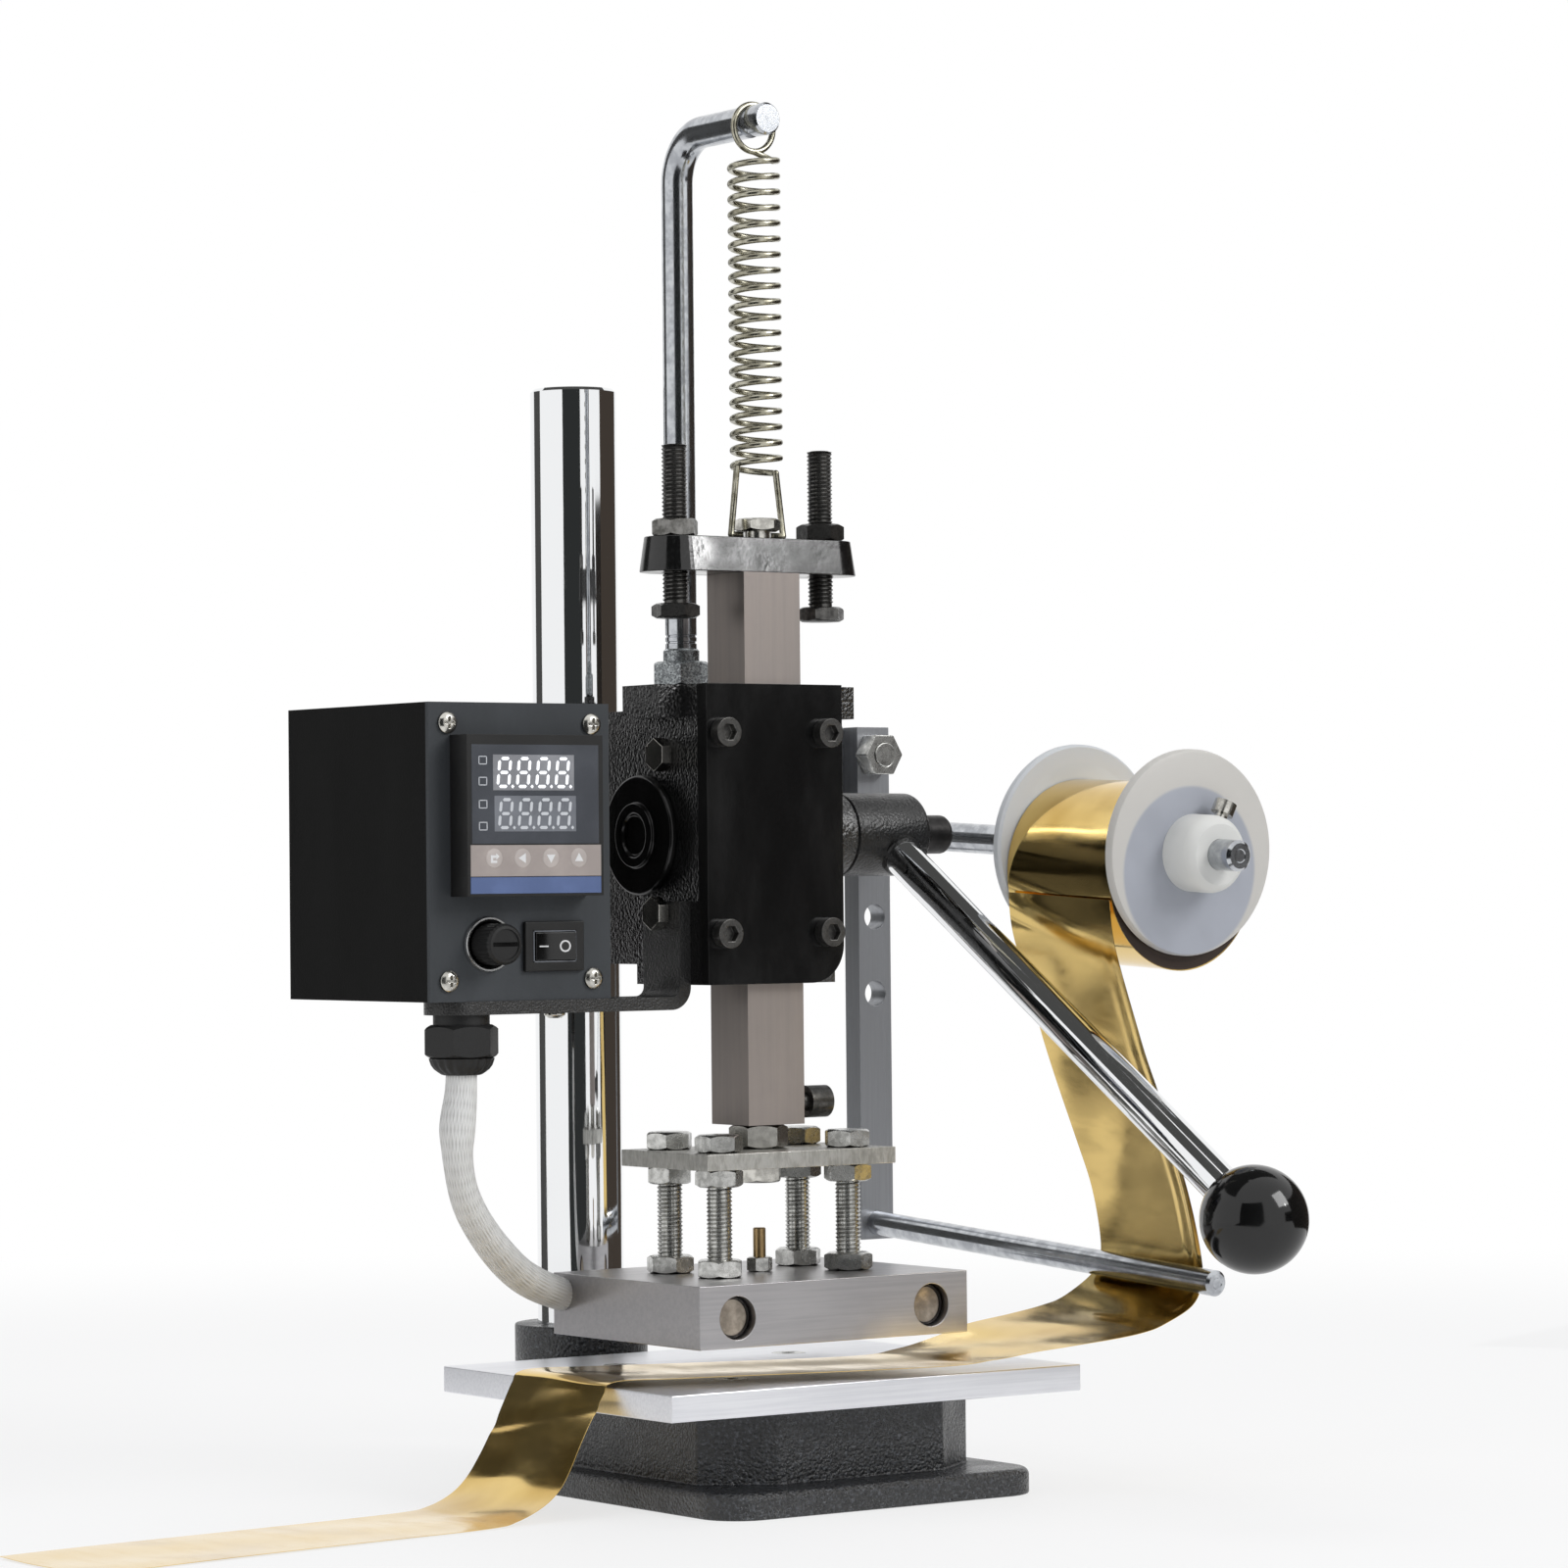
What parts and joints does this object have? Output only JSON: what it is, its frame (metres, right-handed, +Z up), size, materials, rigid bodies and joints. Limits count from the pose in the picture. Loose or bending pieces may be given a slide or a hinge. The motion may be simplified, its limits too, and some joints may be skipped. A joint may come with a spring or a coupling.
{
  "type": "hot foil stamping press",
  "caption": "Bench hot foil stamping press: hand lever turns a pinion that drives a guided rack ram with a heated block over a flat table, with foil spool and temperature control box.",
  "frame": {"origin": "on the underside of the base, straight below the ram's axis", "axes": "+Z up along the ram, +X to the right and +Y to the back as the user stands in front of the press; the column is behind and the hand lever is on the right"},
  "size_m": [0.3984, 0.3239, 0.429],
  "materials": {
    "cast_black": "black wrinkle paint on a casting",
    "head_black": "gloss black paint on a rough casting",
    "plate_black": "smooth gloss black",
    "box_black": "satin black powder coat",
    "panel_grey": "satin dark grey",
    "chrome_bar": "bright plated bar",
    "ram_steel": "ground steel bar",
    "shaft_steel": "blackened steel",
    "zinc": "zinc plated fasteners",
    "spring_steel": "nickelled spring wire",
    "black_oxide": "blackened fasteners",
    "aluminium": "milled aluminium",
    "table_aluminium": "fine brushed aluminium",
    "heater_steel": "heat-tinted steel",
    "black_plastic": "fine matte",
    "gloss_black": "polished black",
    "window": "smoked display window",
    "keys": "light grey keys",
    "fuse_ring": "plated ring",
    "sleeve": "off-white braided glass fibre",
    "flange_plastic": "milky translucent nylon",
    "foil_gold": "metallised gold foil",
    "core_card": "card tube"
  },
  "bodies": {
    "base": {"base_casting": "cast_black", "column": "chrome_bar", "work_table": "table_aluminium", "table_screws": "zinc", "foil_web": "foil_gold"},
    "head": {"head_casting": "head_black", "front_cover": "plate_black", "cover_screws": "black_oxide", "gib_strip": "ram_steel", "gib_bolts": "zinc", "bearing_cap": "plate_black", "column_clamp_bolts": "zinc", "box_bracket": "box_black", "control_box_shell": "box_black", "control_panel": "panel_grey", "box_screws": "zinc", "controller_case": "black_plastic", "controller_window": "window", "fuse_holder": "fuse_ring", "rocker_frame": "black_plastic", "sleeve_gland": "black_plastic", "power_gland": "black_plastic", "solid_state_relay": "black_plastic", "spring_rod": "chrome_bar", "spring_rod_nut": "zinc", "foil_arm": "zinc", "foil_bar": "aluminium", "bracket_bolts": "zinc", "spool_rod": "aluminium", "guide_rod": "aluminium", "rear_flange": "flange_plastic", "return_spring": "spring_steel", "heater_sleeve": "sleeve"},
    "ram": {"ram": "ram_steel", "crossbar": "plate_black", "ram_bolts": "zinc", "suspension_plate": "zinc", "suspension_bolts": "zinc", "lock_nuts": "zinc", "heating_block": "aluminium", "heater_cartridges": "heater_steel", "thermocouple_probe": "zinc"},
    "ram_clamp_screw": {"ram_clamp_screw": "black_oxide"},
    "stop_bolt_left": {"stop_bolt_left": "black_oxide"},
    "stop_bolt_right": {"stop_bolt_right": "black_oxide"},
    "lever": {"pinion_shaft": "shaft_steel", "lever_hub": "plate_black", "lever": "chrome_bar", "ball_knob": "gloss_black"},
    "front_flange": {"front_flange": "flange_plastic", "front_flange_screw": "zinc"},
    "foil_roll": {"foil_roll": "foil_gold", "foil_core": "core_card"},
    "rocker": {"rocker": "gloss_black"},
    "fuse_cap": {"fuse_cap": "black_plastic"},
    "key_1": {"controller_key_1": "keys"},
    "key_2": {"controller_key_2": "keys"},
    "key_3": {"controller_key_3": "keys"},
    "key_4": {"controller_key_4": "keys"}
  },
  "joints": [
    {"name": "head_height", "type": "slide", "parent": "base", "child": "head", "axis": [0, 0, 1], "range_m": [0, 0.06], "deforming": ["foil_web"]},
    {"name": "ram_travel", "type": "slide", "parent": "head", "child": "ram", "axis": [0, 0, 1], "range_m": [-0.003, 0.025], "stiffness_N_per_m": 1600, "springref_m": 0.0195, "deforming": ["return_spring", "heater_sleeve"]},
    {"name": "lever_swing", "type": "hinge", "parent": "head", "child": "lever", "pos_m": [0.063, 0.02, 0.202], "axis": [-1, 0, 0], "range_deg": [-15.4, 127.5]},
    {"name": "stop_left_screw", "type": "slide", "parent": "ram", "child": "stop_bolt_left", "axis": [0, 0, 1], "range_m": [-0.015, 0.009]},
    {"name": "stop_right_screw", "type": "slide", "parent": "ram", "child": "stop_bolt_right", "axis": [0, 0, 1], "range_m": [-0.015, 0.009]},
    {"name": "ram_clamp_turn", "type": "hinge", "parent": "ram", "child": "ram_clamp_screw", "pos_m": [0.02, 0, 0.1188], "axis": [1, 0, 0], "range_deg": [0, 180]},
    {"name": "flange_slide", "type": "slide", "parent": "head", "child": "front_flange", "axis": [0, -0.9986, -0.0523], "range_m": [0, 0.026]},
    {"name": "roll_turn", "type": "hinge", "parent": "head", "child": "foil_roll", "pos_m": [0.1045, -0.05481, 0.18877], "axis": [0, -0.9986, -0.0523], "continuous": true},
    {"name": "switch_tip", "type": "hinge", "parent": "head", "child": "rocker", "pos_m": [-0.0785, -0.0051, 0.1686], "axis": [0, 0, 1], "range_deg": [0, 8]},
    {"name": "fuse_cap_turn", "type": "hinge", "parent": "head", "child": "fuse_cap", "pos_m": [-0.1014, -0.0155, 0.1695], "axis": [0, -1, 0], "range_deg": [0, 90]},
    {"name": "key_1_press", "type": "slide", "parent": "head", "child": "key_1", "axis": [0, 1, 0], "range_m": [0, 0.0003], "stiffness_N_per_m": 500, "springref_m": -0.0006},
    {"name": "key_2_press", "type": "slide", "parent": "head", "child": "key_2", "axis": [0, 1, 0], "range_m": [0, 0.0003], "stiffness_N_per_m": 500, "springref_m": -0.0006},
    {"name": "key_3_press", "type": "slide", "parent": "head", "child": "key_3", "axis": [0, 1, 0], "range_m": [0, 0.0003], "stiffness_N_per_m": 500, "springref_m": -0.0006},
    {"name": "key_4_press", "type": "slide", "parent": "head", "child": "key_4", "axis": [0, 1, 0], "range_m": [0, 0.0003], "stiffness_N_per_m": 500, "springref_m": -0.0006}
  ],
  "couplings": [
    {"joint": "lever_swing", "follows": "ram_travel", "rad_per_m": 88.889}
  ]
}
